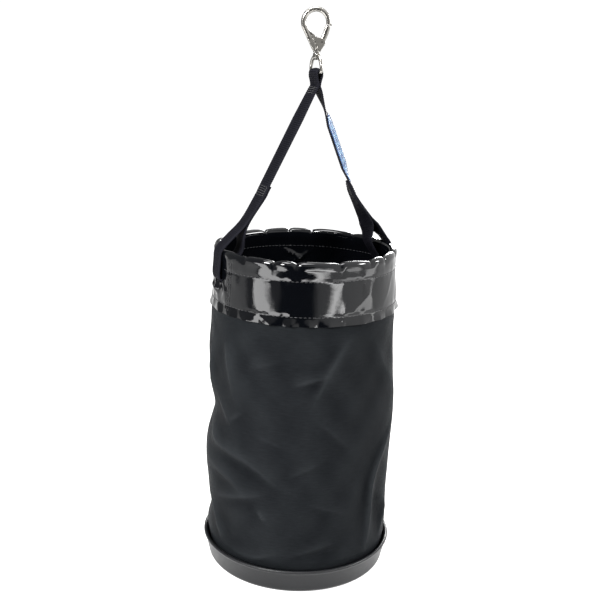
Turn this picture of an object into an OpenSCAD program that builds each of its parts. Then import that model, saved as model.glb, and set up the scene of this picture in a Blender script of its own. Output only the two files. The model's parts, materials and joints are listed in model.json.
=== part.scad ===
// Rope storage bag: a canvas tube in a moulded cup, with a rolled vinyl collar over a wire hoop,
// a webbing sling looped through two slots in the collar, and a swivel snap hook.
// The origin is the centre of the cup's underside, +Z is up, and all lengths are in millimetres.

/* [Bag] */
// Height from the floor to the top of the rolled rim
bag_h = 425; // [340:5:520]
// Outer radius of the canvas tube at its widest
body_r = 119.5; // [118.5:0.5:120.5]
// Outer radius of the rolled rim
rim_r = 115; // [114.5:0.5:115.5]
// Thickness of the canvas
canvas_t = 1.5; // [1:0.1:1.8]

/* [Base cup] */
// Outer radius at the lip
cup_lip_r = 125; // [125:0.5:128]
// Outer radius of the wall just above the rounded foot
cup_foot_r = 118; // [118:0.5:120]
// Height of the cup
cup_h = 34; // [28:1:50]
// Thickness of the wall and of the floor
cup_wall = 3; // [2.5:0.25:3]
// Radius of the rounded foot
cup_fillet = 8; // [6:0.5:9]

/* [Collar] */
// Depth of the vinyl collar below the rim
collar_depth = 75; // [60:1:100]
// Thickness of the coated vinyl
vinyl_t = 1.1; // [0.8:0.1:1.3]
// Radius of the rolled rim that holds the hoop
roll_r = 4.5; // [4.2:0.1:5]
// Distance of the upper stitch row below the rim
hem_depth = 25; // [20:1:30]
// Radius of the spring wire of the hoop
hoop_wire_r = 2.2; // [1.5:0.1:2.2]
// Direction of the collar's overlap seam about the bag
seam_angle = 218; // [214:1:300]

/* [Sling] */
// Width of the webbing
strap_w = 25; // [20:1:25]
// Thickness of the webbing
strap_t = 2.2; // [1.6:0.1:2.2]
// Direction of the sling's plane about the bag
sling_angle = 24; // [0:1:60]
// Height from the rim to the hinge line across the two webbing loops
hinge_rise = 17; // [16:1:22]
// Height from the rim to the sewn splices of the legs
splice_rise = 63; // [60:1:90]
// Distance of a splice from the centre line
splice_r = 64; // [60:1:72]
// Height from the rim to the stitched eye at the top
eye_rise = 197; // [180:1:240]
// How far the eye stands to one side of the bag's axis, along the sling's plane
eye_lean = 6; // [0:1:8]
// Length of the woven label
label_len = 88; // [60:1:90]

/* [Swivel hook] */
// Radius of the ring's wire
ring_wire_r = 2; // [1.8:0.1:2.2]
// Radius of the hook's round bar
hook_wire_r = 2.5; // [2.2:0.1:2.8]
// Radius of the bow's centre line
bow_r = 15; // [14:0.5:16]
// Height of the hook body above the swivel
hook_h = 51; // [48:1:56]

/* [Hidden] */
$fn = 96;

canvas_color = "#2b3033";
vinyl_color = "#15181c";
webbing_color = "#1d1d24";
thread_color = "#0d0d10";
steel_color = "#c4c5c0";

clear = 0.3;                                  // gap between two parts that pass each other
lay = 0.1;                                    // gap between two sewn layers
glue_t = 0.5;                                 // adhesive layer between cup and canvas
board_t = 3;                                  // stiffener board
cloth_z = cup_wall + glue_t;                  // underside of the canvas bottom
board_z = cloth_z + canvas_t;                 // underside of the stiffener
hem_up = 13;                                  // top of the canvas bottom's turned-up hem
hoop_r = rim_r - roll_r;
hoop_z = bag_h - roll_r;
collar_z = bag_h - collar_depth;
hem_z = bag_h - hem_depth;
slot_z = hem_z - 13;                          // middle of the two webbing slots
slot_w = strap_w + 3;
slot_h = 6;
slack = 9;                                    // how far the webbing's inner run hangs off the collar
tail = 16;                                    // the sewn-back end above a splice
hinge_z = bag_h + hinge_rise;
splice_z = bag_h + splice_rise;
eye_z = bag_h + eye_rise;
ring_z = eye_z + 15;                          // centre of the ring's lower bar

// On each side (-1 or 1): a leg's distance from the bag's axis at the eye, its slant and its length
function leg_top(side) = side * eye_lean + strap_t / 2;
function slant(side) = atan((splice_r - leg_top(side)) / (eye_z - splice_z));
function leg_len(side) = (eye_z - splice_z) / cos(slant(side));

// Outer radius of the canvas tube at height z: tucked in at the foot, widest low down, narrower at the hem
wall_shape = [
    [cloth_z, cup_foot_r - 8.5], [9, cup_foot_r - 4], [cup_h + 10, body_r], [bag_h * 0.55, body_r],
    [collar_z, body_r - 2.1], [hem_z, rim_r - 0.8], [bag_h, rim_r - 0.8]
];
function wall_r(z) = lookup(z, wall_shape);
wall_zs = [cloth_z, 9, hem_up, cup_h + 10, bag_h * 0.55, collar_z, hem_z];

// Points along an arc about the point c, from angle a0 to angle a1
function arc(c, r, a0, a1, n) = [
    for (i = [0:n])
        let (a = a0 + (a1 - a0) * i / n)
            c + r * [cos(a), sin(a)]
];

// Outline of a strip of thickness t along an open path of 2D points
function unit(v) = v / norm(v);
function side_step(p, i) = let (
    a = unit(p[min(i + 1, len(p) - 1)] - p[max(i - 1, 0)]),
    b = unit(i > 0 ? p[i] - p[i - 1] : p[1] - p[0])
) [-a[1], a[0]] / max(0.6, a * b);
function strip(p, t) = concat(
    [for (i = [0:len(p) - 1]) p[i] + side_step(p, i) * t / 2],
    [for (i = [len(p) - 1:-1:0]) p[i] - side_step(p, i) * t / 2]
);

// A row of stitches round the bag at height z, lying on radius r, with none within gap degrees
// of the sling's plane
module ring_of_stitches(r, z, gap = 0) {
    n = 48;
    length = 8;
    for (i = [0:n - 1]) if (abs(sin(i * 360 / n - sling_angle)) > sin(gap))
        rotate(i * 360 / n) translate([r, -length / 2, z - 0.5]) cube([0.6, length, 1]);
}

// Everything that belongs to the sling's plane is drawn with X across the legs and Z up
module in_sling_plane() {
    rotate(sling_angle) children();
}

// The ring and the hook stand over the eye
module at_eye() {
    rotate(sling_angle) translate([eye_lean, 0, 0]) rotate(-sling_angle) children();
}

// A strip of webbing drawn in the sling's plane, w wide
module webbing(outline, w = strap_w) {
    rotate([90, 0, 0]) linear_extrude(w, center = true) polygon(outline);
}

// A place on a leg: distance d below the eye, X out of the leg's face and Z up along the leg
module on_leg(side, d) {
    mirror([side < 0 ? 1 : 0, 0, 0])
        translate([leg_top(side) + d * sin(slant(side)), 0, eye_z - d * cos(slant(side))])
            rotate([0, -slant(side), 0]) children();
}

module base_cup() {
    color("#3a3b3e") rotate_extrude() polygon(concat(
        [[0, 0]],
        arc([cup_foot_r - cup_fillet, cup_fillet], cup_fillet, -90, -8, 6),
        [[cup_lip_r - 2, cup_h - 5]],
        arc([cup_lip_r - 2, cup_h - 2], 2, -60, 90, 5),
        [[cup_lip_r - 1.5 - cup_wall, cup_h], [cup_lip_r - 1.8 - cup_wall, cup_h - 5]],
        arc([cup_foot_r - cup_fillet, cup_fillet], cup_fillet - cup_wall, -8, -90, 6),
        [[0, cup_wall]]
    ));
}

module base_adhesive() {
    color("#b9b39c") translate([0, 0, cup_wall]) cylinder(r = wall_r(cloth_z) - 3, h = glue_t);
}

module cloth_bottom() {
    zs = [cloth_z, 9, hem_up];
    color(canvas_color) rotate_extrude() polygon(concat(
        [[0, cloth_z]],
        [for (z = zs) [wall_r(z) - canvas_t - lay, z]],
        [[wall_r(hem_up) - 2 * canvas_t, hem_up], [wall_r(9) - 2 * canvas_t, 9]],
        [[wall_r(board_z) - 2 * canvas_t - 1, board_z], [0, board_z]]
    ));
}

module base_stiffener() {
    color("#4b4d4f") translate([0, 0, board_z])
        cylinder(r = wall_r(board_z) - 2 * canvas_t - 1.5, h = board_t);
}

// The two slots that the sling's webbing goes through
module slots() {
    in_sling_plane() for (s = [-1, 1])
        translate([s * rim_r, 0, slot_z]) cube([30, slot_w, slot_h], center = true);
}

module cloth_wall() {
    top = hem_z + 4;
    color(canvas_color) difference() {
        rotate_extrude() polygon(concat(
            [for (z = concat(wall_zs, [top])) [wall_r(z), z]],
            [for (i = [len(wall_zs):-1:0]) let (z = concat(wall_zs, [top])[i]) [wall_r(z) - canvas_t, z]]
        ));
        slots();
    }
}

// The tube's lengthwise seam runs up the inside, at the back
module wall_seam_stitch() {
    n = 24;
    z0 = cup_h + 12;
    z1 = collar_z - 14;
    color(thread_color) for (i = [0:n - 1], a = [96, 100])
        let (z = z0 + (z1 - z0) * i / (n - 1))
            rotate(a) translate([wall_r(z) - canvas_t - 1, -0.5, z - 4]) cube([0.6, 1, 8]);
}

module bottom_stitch() {
    color(thread_color) ring_of_stitches(wall_r(hem_up - 2) - 2 * canvas_t - 1.2, hem_up - 1);
}

// The collar is one strip: up the outside, over the hoop and down the inside
function collar_path() = concat(
    [for (z = [collar_z, hem_z]) [wall_r(z) + lay + vinyl_t / 2, z]],
    arc([hoop_r, hoop_z], roll_r - vinyl_t / 2, 0, 180, 12),
    [for (z = [hem_z, collar_z - 5]) [wall_r(z) - canvas_t - lay - vinyl_t / 2, z]]
);

module collar() {
    color(vinyl_color) difference() {
        union() {
            rotate_extrude() polygon(strip(collar_path(), vinyl_t));
            rotate(seam_angle - 4) rotate_extrude(angle = 8) polygon([
                for (p = [[0.5, collar_z], [0.5, hem_z], [2 * vinyl_t, hem_z], [2 * vinyl_t, collar_z]])
                    [wall_r(p[1]) + lay + p[0], p[1]]
            ]);
        }
        slots();
    }
}

module collar_seam_stitch() {
    color(thread_color) for (i = [0:4], a = [-2.6, -0.6])
        let (z = collar_z + 15 + i * 8)
            rotate(seam_angle + a)
                translate([wall_r(z) + lay + 2 * vinyl_t + 0.4, -0.5, z - 2.5])
                    cube([0.6, 1, 5]);
}

module collar_top_stitch() {
    color(thread_color) ring_of_stitches(wall_r(hem_z) + lay + 2 * vinyl_t + 0.2, hem_z + 3, 9);
}

module collar_bottom_stitch() {
    z = collar_z + 11;
    color(thread_color) ring_of_stitches(wall_r(z) + lay + 2 * vinyl_t + 0.2, z);
}

module rim_hoop() {
    color("#8d8f90") translate([0, 0, hoop_z]) rotate_extrude()
        translate([hoop_r, 0]) circle(hoop_wire_r, $fn = 32);
}

// A crimped tube over the joint of the hoop's two ends
module hoop_ferrule() {
    color("#a5a6a4") translate([0, 0, hoop_z]) rotate(84) rotate_extrude(angle = 14) translate([hoop_r, 0])
        difference() {
            circle(roll_r - vinyl_t - 0.25, $fn = 32);
            circle(hoop_wire_r + 0.05, $fn = 32);
        }
}

// The webbing's turn round the rim: down the outside, through the slot and up the inside
module rim_loop(side) {
    reach = strap_t / 2 + clear;
    // the flat webbing is a chord inside the collar
    inner_reach = reach + strap_w * strap_w / 8 / (hoop_r - roll_r);
    out_r = wall_r(slot_z) + lay + vinyl_t + reach;
    in_r = wall_r(slot_z) - canvas_t - lay - vinyl_t - inner_reach;
    top = hinge_z - strap_w / 2 - clear;
    path = concat(
        [[hoop_r + roll_r - 2, top]],
        arc([hoop_r, hoop_z], roll_r + reach, 30, 0, 3),
        [[out_r, slot_z + 10], [out_r, slot_z + 2.5], [out_r - 2.5, slot_z]],
        [[in_r + 2.5, slot_z], [in_r, slot_z + 2.5], [in_r, slot_z + 6]],
        [for (p = [[-slack / 2, -9], [-slack, 3], [-slack - 1.5, top - hoop_z]])
            [hoop_r - roll_r - inner_reach, hoop_z] + p]
    );
    in_sling_plane() mirror([side < 0 ? 1 : 0, 0, 0]) webbing(strip(path, strap_t));
}

module rim_loop_left() {
    color(webbing_color) rim_loop(-1);
}

module rim_loop_right() {
    color(webbing_color) rim_loop(1);
}

// Half of the sling in its own plane: the leg from the eye to the rim, and the sewn-back inner end
module half_sling(side) {
    along = [-sin(slant(side)), cos(slant(side))];
    foot = [splice_r, splice_z];
    inner = foot - 0.95 * strap_t * [cos(slant(side)), sin(slant(side))];
    low = hinge_z - strap_w;
    polygon(strip(concat(
        [[hoop_r + 7, low], foot, [leg_top(side), eye_z]],
        arc([side * eye_lean, ring_z], ring_wire_r + clear + strap_t / 2, -20, 90, 8)
    ), strap_t));
    polygon(strip([[hoop_r - slack - 1, low], inner - 4 * along, inner + tail * along], strap_t));
}

module sling_strap() {
    color(webbing_color) in_sling_plane() intersection() {
        rotate([90, 0, 0]) linear_extrude(strap_w, center = true) union() {
            half_sling(1);
            mirror([1, 0]) half_sling(-1);
        }
        union() {
            translate([-200, -50, hinge_z]) cube([400, 100, 300]);
            translate([-200, 0, hinge_z]) rotate([0, 90, 0]) cylinder(r = strap_w / 2, h = 400);
        }
    }
}

// Rows of thread on the outer face of a splice and on its inner face
module splice_stitch(side) {
    faces = [strap_t / 2 + 0.1, -1.5 * strap_t - 0.7];
    in_sling_plane() on_leg(side, leg_len(side)) for (x = faces, i = [0:3], y = [-8, -2.7, 2.7, 8])
        translate([x, y - 1.8, 1.5 + 3.5 * i]) cube([0.6, 3.6, 0.9]);
}

module splice_stitch_left() {
    color(thread_color) splice_stitch(-1);
}

module splice_stitch_right() {
    color(thread_color) splice_stitch(1);
}

// The bar of thread that closes the eye round the ring
module eye_stitch() {
    color(thread_color) in_sling_plane() for (side = [-1, 1], i = [0:2], y = [-8, -2.7, 2.7, 8])
        on_leg(side, 4 + 3 * i) translate([strap_t / 2 + 0.1, y - 1.8, -0.45]) cube([0.6, 3.6, 0.9]);
}

// The label is sewn to the right leg's outer face, just above the splice
label_down = leg_len(1) - tail - label_len / 2 - 2;

module label() {
    color("#9fc0e0") in_sling_plane() on_leg(1, label_down)
        translate([strap_t / 2 + 0.1, -strap_w * 0.42, -label_len / 2])
            cube([0.6, strap_w * 0.84, label_len]);
}

module label_stitch() {
    color("#2d5f9e") in_sling_plane() on_leg(1, label_down) for (end = [-1, 1], y = [-7.5, -2.5, 2.5, 7.5])
        translate([strap_t / 2 + 0.8, y - 1.7, end * (label_len / 2 - 3) - 0.4]) cube([0.5, 3.4, 0.8]);
}

// The ring stands across the sling's plane: a flat lower bar, round corners, short sides and a half-round top
ring_corner = 3;
ring_side = 2;
ring_half = strap_w / 2 + 0.5 + ring_wire_r;
boss_r = 4.5;
boss_h = 6;
boss_z = ring_z + ring_corner + ring_side + ring_half - boss_h / 2;
pin_r = 2;
hook_z = boss_z + boss_h + clear;

module ring_bar() {
    circle(ring_wire_r, $fn = 32);
}

module swivel_ring() {
    color(steel_color) at_eye() in_sling_plane() difference() {
        union() {
            translate([0, 0, ring_z]) rotate([90, 0, 0])
                cylinder(r = ring_wire_r, h = 2 * (ring_half - ring_corner), center = true, $fn = 32);
            for (s = [0, 1]) mirror([0, s, 0]) {
                translate([0, ring_half - ring_corner, ring_z + ring_corner]) rotate([90, 0, 90]) rotate(-90)
                    rotate_extrude(angle = 90) translate([ring_corner, 0]) ring_bar();
                translate([0, ring_half, ring_z + ring_corner])
                    cylinder(r = ring_wire_r, h = ring_side, $fn = 32);
            }
            translate([0, 0, ring_z + ring_corner + ring_side]) rotate([90, 0, 90])
                rotate_extrude(angle = 180) translate([ring_half, 0]) ring_bar();
            translate([0, 0, boss_z]) cylinder(r = boss_r, h = boss_h);
        }
        translate([0, 0, boss_z - 1]) cylinder(r = pin_r + 0.08, h = boss_h + 2);
    }
}

// A headed stem: the ring turns on it and the hook is pressed onto its upper end
module swivel_pin() {
    color("#aeb0ad") at_eye() {
        translate([0, 0, boss_z - clear - 2]) cylinder(r = 3.6, h = 2);
        translate([0, 0, boss_z - clear - 0.5]) cylinder(r = pin_r, h = boss_h + 7);
    }
}

// The hook lies in the XZ plane
bow_x = -2;
bow_z = hook_z + hook_h - hook_wire_r - bow_r;
foot_x = -2.5;
foot_z = hook_z + 4;
plate_t = 6;
gate_t = 3;
gate_slot = gate_t + 2 * clear;
pivot = [6, hook_z + 12.5];
nose_angle = -10;
nose = [bow_x, bow_z] + bow_r * [cos(nose_angle), sin(nose_angle)];
foot_gap = norm([bow_x - foot_x, bow_z - foot_z]);
bar_angle = atan2(bow_z - foot_z, bow_x - foot_x) + asin(bow_r / foot_gap);
bar_len = sqrt(foot_gap * foot_gap - bow_r * bow_r);
bar_top = [foot_x, foot_z] + bar_len * [cos(bar_angle), sin(bar_angle)];

// Flat shapes of the hook, t thick, drawn with X across and Y up
module hook_plate(outline, t) {
    rotate([90, 0, 0]) linear_extrude(t, center = true) polygon(outline);
}

module hook_body() {
    color(steel_color) at_eye() difference() {
        union() {
            translate([bow_x, 0, bow_z]) rotate([90, 0, 0]) rotate(nose_angle)
                rotate_extrude(angle = bar_angle + 90 - nose_angle) translate([bow_r, 0])
                    circle(hook_wire_r, $fn = 32);
            translate([foot_x, 0, foot_z]) rotate([0, 90 - bar_angle, 0])
                cylinder(r = hook_wire_r, h = bar_len, $fn = 32);
            translate([0, 0, hook_z]) cylinder(r = boss_r, h = 6);
            hook_plate([
                [-3.5, hook_z + 3], [3.5, hook_z + 3], pivot + [4, -1.5], pivot + [2.5, 4],
                pivot + [-3, 4], pivot + [-10.5, 2]
            ], plate_t);
            hook_plate([[foot_x, foot_z], pivot + [-3, 4], bar_top + [1.5, 0.5], bar_top + [-0.2, 1.5]], 3.2);
            hook_plate([nose + [2.4, -4.5], nose + [3.9, -4.5], nose + [3.4, 1], nose + [0, 1]], plate_t / 2);
        }
        translate([0, 0, hook_z - 1]) cylinder(r = pin_r, h = 7.5);
        hook_plate([
            pivot + [-6.5, -4.5], pivot + [9, -4.5], pivot + [9, 9], pivot + [-6.5, 9]
        ], gate_slot);
        translate([pivot[0], 0, pivot[1]]) rotate([90, 0, 0])
            cylinder(r = 1, h = 20, center = true, $fn = 32);
    }
}

module gate() {
    reach = nose - pivot + [0.2, -3.2];
    color("#b0b0ab") at_eye() difference() {
        union() {
            translate([pivot[0], 0, pivot[1]]) rotate([90, 0, 0])
                cylinder(r = 3, h = gate_t, center = true, $fn = 32);
            hook_plate(strip([pivot, pivot + reach * 0.5 + [0.6, 0], pivot + reach], 3.6), gate_t);
        }
        translate([pivot[0], 0, pivot[1]]) rotate([90, 0, 0])
            cylinder(r = 1.08, h = 20, center = true, $fn = 32);
    }
}

module gate_pin() {
    color("#9c9d9a") at_eye() translate([pivot[0], 0, pivot[1]]) rotate([90, 0, 0])
        cylinder(r = 1, h = plate_t + 0.6, center = true, $fn = 32);
}

// A bent leaf in the slot under the gate's heel
module gate_spring() {
    color("#7f8182") at_eye() hook_plate(strip([
        pivot + [-5.5, -2.5], pivot + [-3, -3.7], pivot + [1, -3.9], pivot + [3.4, -3.6]
    ], 0.5), 2.4);
}

base_cup();
base_adhesive();
cloth_bottom();
base_stiffener();
cloth_wall();
wall_seam_stitch();
bottom_stitch();
collar();
collar_seam_stitch();
collar_top_stitch();
collar_bottom_stitch();
rim_hoop();
hoop_ferrule();
rim_loop_left();
rim_loop_right();
sling_strap();
splice_stitch_left();
splice_stitch_right();
eye_stitch();
label();
label_stitch();
swivel_ring();
swivel_pin();
hook_body();
gate();
gate_pin();
gate_spring();
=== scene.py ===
"""A rope storage bag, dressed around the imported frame.

All lengths are metres, in the frame's own axes: +Z up, the bag's front towards -Y. A place on the bag is
given by its azimuth, in degrees from the front and growing towards +X, and by its height above the floor.
"""
import json
import math

import bmesh
import bpy
import numpy as np
from mathutils import Matrix, Vector


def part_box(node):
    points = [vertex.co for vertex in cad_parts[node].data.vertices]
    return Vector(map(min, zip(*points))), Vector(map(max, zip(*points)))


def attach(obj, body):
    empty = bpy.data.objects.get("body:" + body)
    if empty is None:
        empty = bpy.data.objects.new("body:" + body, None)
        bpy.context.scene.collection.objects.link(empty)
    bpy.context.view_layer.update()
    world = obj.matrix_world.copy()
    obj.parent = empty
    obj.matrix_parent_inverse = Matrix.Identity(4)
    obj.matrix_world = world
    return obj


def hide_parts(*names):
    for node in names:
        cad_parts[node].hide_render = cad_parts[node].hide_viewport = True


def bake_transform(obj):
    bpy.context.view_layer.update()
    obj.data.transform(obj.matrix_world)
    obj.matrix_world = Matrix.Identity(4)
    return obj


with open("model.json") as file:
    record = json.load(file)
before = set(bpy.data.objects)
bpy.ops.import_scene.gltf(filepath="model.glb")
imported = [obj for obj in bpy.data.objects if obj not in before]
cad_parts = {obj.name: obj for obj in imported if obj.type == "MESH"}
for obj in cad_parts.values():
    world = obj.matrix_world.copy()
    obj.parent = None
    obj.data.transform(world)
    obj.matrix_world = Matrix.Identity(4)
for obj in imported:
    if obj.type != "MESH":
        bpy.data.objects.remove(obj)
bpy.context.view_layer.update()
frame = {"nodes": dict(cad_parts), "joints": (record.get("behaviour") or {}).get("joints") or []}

MM = 0.001
LAY = 0.1 * MM                  # gap between two sewn layers


# ---------------------------------------------------------------- the frame

def joint(name):
    """A joint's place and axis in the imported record."""
    row = next(j for j in frame["joints"] if j["name"] == name)
    return np.array(row["pos_m"]), np.array(row["axis"])


HINGE, ALONG = joint("sling_swing")          # ALONG points across the legs, in the sling's plane
RING_BAR, ACROSS = joint("ring_tilt")        # ACROSS is the webbing's width
SWIVEL, UP = joint("hook_swivel")
PIVOT = joint("gate_open")[0]
EYE_X = float(RING_BAR @ ALONG)              # the eye stands off the bag's axis by this much

CUP_LIP_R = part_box("base_cup")[1].x
CUP_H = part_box("base_cup")[1].z
WALL_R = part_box("cloth_wall")[1].x
WALL_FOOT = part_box("cloth_wall")[0].z
WALL_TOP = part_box("cloth_wall")[1].z
BOTTOM_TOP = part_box("cloth_bottom")[1].z
COLLAR_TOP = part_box("collar")[1].z
HOOP_LOW, HOOP_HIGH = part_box("rim_hoop")
HOOP_WIRE = (HOOP_HIGH.z - HOOP_LOW.z) / 2
HOOP_R = HOOP_HIGH.x - HOOP_WIRE
HOOP_Z = HOOP_HIGH.z - HOOP_WIRE
ROLL_R = COLLAR_TOP - HOOP_Z
HEM_Z = sum(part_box("collar_top_stitch")[i].z for i in (0, 1)) / 2
LOW_HEM_Z = sum(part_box("collar_bottom_stitch")[i].z for i in (0, 1)) / 2
COLLAR_Z = LOW_HEM_Z - 11 * MM  # the collar's lower edge
SLOT_Z = HEM_Z - 16 * MM        # the webbing's slots through the collar and the wall
SLOT_H = 6 * MM
BOTTOM_R = WALL_R - 12 * MM     # the canvas bottom, and how far its turned-up hem leans out
HEM_LEAN = 0.45
VINYL = 1.1 * MM                # thickness of the vinyl and of the canvas
CANVAS = 1.5 * MM
STRAP_W = 25 * MM               # the webbing's width and thickness
STRAP_T = 2.2 * MM
LEFT_AZ = math.degrees(math.atan2(-ALONG[0], ALONG[1]))       # azimuth of the left webbing slot
RIGHT_AZ = LEFT_AZ + 180
SEAM_AZ = -47.5                                               # the collar's overlap seam


# ---------------------------------------------------------------- small tools

def smoothstep(low, high, x):
    """Eases from 0 at low to 1 at high."""
    t = np.clip((x - low) / (high - low), 0, 1)
    return t * t * (3 - 2 * t)


def bell(x, width):
    """A bump of height 1 at x = 0."""
    return np.exp(-(x / width) ** 2)


def turn(az, centre):
    """Signed angle from centre to az, in degrees, from -180 to 180."""
    return (az - centre + 180) % 360 - 180


def around(az, r, z):
    """Points at azimuth az in degrees, radius r and height z, as an array with a last axis of 3."""
    a = np.radians(az)
    a, r, z = np.broadcast_arrays(a, r, z)
    return np.stack([r * np.sin(a), -r * np.cos(a), z], -1)


def soft_noise(seed, az, z, rounds, height, count=14):
    """A smooth random field of about -1 to 1, with rounds[0] to rounds[1] waves round the bag."""
    rng = np.random.default_rng(seed)
    total = np.zeros(np.broadcast(az, z).shape)
    for _ in range(count):
        n = rng.integers(rounds[0], rounds[1] + 1)
        k = rng.uniform(-1, 1) * 2 * math.pi / height
        total += np.sin(n * np.radians(az) + k * z + rng.uniform(0, 2 * math.pi))
    return total / math.sqrt(count)


def curve_through(points, step):
    """A smooth curve through given points, resampled every step along its length."""
    p = np.array(points, float)
    p = np.vstack([2 * p[0] - p[1], p, 2 * p[-1] - p[-2]])
    t = np.linspace(0, 1, 24, endpoint=False)[:, None]
    pieces = []
    for a, b, c, d in zip(p[:-3], p[1:-2], p[2:-1], p[3:]):
        pieces.append(0.5 * (2 * b + (c - a) * t + (2 * a - 5 * b + 4 * c - d) * t ** 2
                             + (3 * b - a - 3 * c + d) * t ** 3))
    dense = np.vstack(pieces + [p[-2:-1]])
    length = travel(dense)
    at = np.linspace(0, length[-1], max(2, round(length[-1] / step) + 1))
    return np.stack([np.interp(at, length, dense[:, i]) for i in range(dense.shape[1])], -1)


def travel(points):
    """The length along a line from its start to each of its points."""
    return np.concatenate([[0], np.cumsum(np.linalg.norm(np.diff(points, axis=0), axis=1))])


def columns(count, radius):
    """Azimuths of that many columns round the bag, and the cloth's coordinates there and where it closes."""
    return np.arange(count) * 360 / count, np.arange(count + 1) / count * 2 * math.pi * radius


def arc(centre, radius, first, last, count):
    """Points of an arc in a flat outline, from one angle in degrees to another."""
    angles = np.radians(np.linspace(first, last, count))
    return [(centre[0] + radius * math.cos(a), centre[1] + radius * math.sin(a)) for a in angles]


def unit(v):
    """Vectors along the last axis, made one long."""
    return v / np.linalg.norm(v, axis=-1, keepdims=True)


# ---------------------------------------------------------------- meshes

def add_object(name, data):
    """A new object of the scene, which is that mesh, light or camera."""
    obj = bpy.data.objects.new(name, data)
    bpy.context.scene.collection.objects.link(obj)
    return obj


def make_object(name, vertices, faces, material, uvs=None):
    """A smooth mesh object. uvs holds one pair for each corner of each face, in order."""
    mesh = bpy.data.meshes.new(name)
    mesh.from_pydata(np.asarray(vertices).tolist(), [], faces)
    if uvs is not None:
        layer = mesh.uv_layers.new(name="cloth")
        layer.data.foreach_set("uv", np.asarray(uvs, np.float32).ravel())
    mesh.shade_smooth()
    mesh.materials.append(material)
    return add_object(name, mesh)


def grid_faces(kept, shape, us, vs):
    """Faces of a grid of points at its marked cells, and the four places on the cloth of each face."""
    rows, cols = shape
    i, j = np.nonzero(kept)
    i2, j2 = (i + 1) % rows, (j + 1) % cols
    faces = np.stack([i * cols + j, i * cols + j2, i2 * cols + j2, i2 * cols + j], -1)
    corners = np.stack([us[j], vs[i], us[j + 1], vs[i], us[j + 1], vs[i + 1], us[j], vs[i + 1]], -1)
    return faces, corners.reshape(-1, 4, 2)


def grid_object(name, points, material, us, vs, closed_rows=False, closed_cols=False, caps=False):
    """A mesh over a grid of points. us and vs give the cloth's own coordinates along columns and rows."""
    rows, cols = points.shape[:2]
    every = np.ones((rows - (not closed_rows), cols - (not closed_cols)), bool)
    faces, corners = grid_faces(every, (rows, cols), us, vs)
    faces, uvs = faces.tolist(), corners.reshape(-1, 2)
    if caps:
        faces += [list(range(cols))[::-1], [(rows - 1) * cols + k for k in range(cols)]]
        uvs = np.vstack([uvs, np.zeros((2 * cols, 2))])
    return make_object(name, points.reshape(-1, 3), faces, material, uvs)


def grid_normals(points):
    """Outward normals of a grid whose columns run round the bag."""
    across = np.roll(points, -1, 1) - np.roll(points, 1, 1)
    along = np.gradient(points, axis=0)
    return unit(np.cross(across, along))


def shell(name, points, thickness, material, us, vs, hole=None):
    """A closed sheet of cloth of that thickness: the points are its outer face, and its columns run round.

    hole marks the cells of the grid that are cut out, through both faces.
    """
    rows, cols = points.shape[:2]
    kept = np.ones((rows - 1, cols), bool) if hole is None else ~hole
    inner = points - grid_normals(points) * thickness
    outer_faces, corners = grid_faces(kept, (rows, cols), us, vs)
    inner_faces = outer_faces[:, ::-1] + rows * cols
    edges = np.stack([outer_faces, np.roll(outer_faces, -1, 1)], -1).reshape(-1, 2)
    edges = [tuple(edge) for edge in edges.tolist()]
    lone = set(edges)
    rim = [(a, b) for a, b in edges if (b, a) not in lone]
    rim_faces = [(b, a, a + rows * cols, b + rows * cols) for a, b in rim]
    rim_uvs = [[(us[v % cols], vs[v // cols]) for v in (b, a, a, b)] for a, b in rim]
    vertices = np.concatenate([points.reshape(-1, 3), inner.reshape(-1, 3)])
    faces = outer_faces.tolist() + inner_faces.tolist() + rim_faces
    uvs = np.concatenate([corners, corners[:, ::-1], np.array(rim_uvs).reshape(-1, 4, 2)])
    obj = make_object(name, vertices, faces, material, uvs)
    obj.data.set_sharp_from_angle(angle=math.radians(60))
    return obj


def lathe(name, profile, material, segments=192, centre=(0, 0, 0)):
    """A turned piece: profile is a closed outline of (radius, height), whose last point isn't its first."""
    p = np.array(profile)
    az, us = columns(segments, p[:, 0].max())
    points = around(az[None, :], p[:, :1], p[:, 1:]) + np.array(centre)
    length = travel(p)
    return grid_object(name, points, material, us, np.append(length, length[-1]), True, True)


def bar(name, path, binormal, half_in, half_out, material, sides=20, closed=False):
    """A round or oval bar along a flat path: half_in lies in the path's plane and half_out across it."""
    if closed:
        tangent = unit(np.roll(path, -1, 0) - np.roll(path, 1, 0))
    else:
        tangent = unit(np.gradient(path, axis=0))
    normal = unit(np.cross(binormal, tangent))
    a = np.arange(sides) * 2 * math.pi / sides
    half_in = np.broadcast_to(half_in, len(path))[:, None, None]
    half_out = np.broadcast_to(half_out, len(path))[:, None, None]
    ring = np.cos(a)[None, :, None] * normal[:, None] * half_in
    ring = ring + np.sin(a)[None, :, None] * np.array(binormal)[None, None] * half_out
    points = path[:, None] + ring
    us = np.arange(sides + 1) / sides * 2 * math.pi * float(np.max(half_in))
    vs = np.arange(len(path) + 1) * float(np.linalg.norm(path[1] - path[0]))
    return grid_object(name, points, material, us, vs, closed, True, caps=not closed)


def plate(name, outline, near, far, material):
    """A plate whose outline lies in the XZ plane. near and far give its faces' y, in metres, at (x, z)."""
    count = len(outline)
    vertices = [(x, face(x, z), z) for face in (near, far) for x, z in outline]
    faces = [list(range(count)), list(range(2 * count - 1, count - 1, -1))]
    faces += [[k, (k + 1) % count, count + (k + 1) % count, count + k] for k in range(count)]
    return make_object(name, vertices, faces, material)


def apply_modifiers(obj):
    """Replaces the object's mesh by what its modifiers make of it."""
    graph = bpy.context.evaluated_depsgraph_get()
    mesh = bpy.data.meshes.new_from_object(obj.evaluated_get(graph))
    obj.modifiers.clear()
    obj.data = mesh
    mesh.shade_smooth()
    return obj


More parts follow.
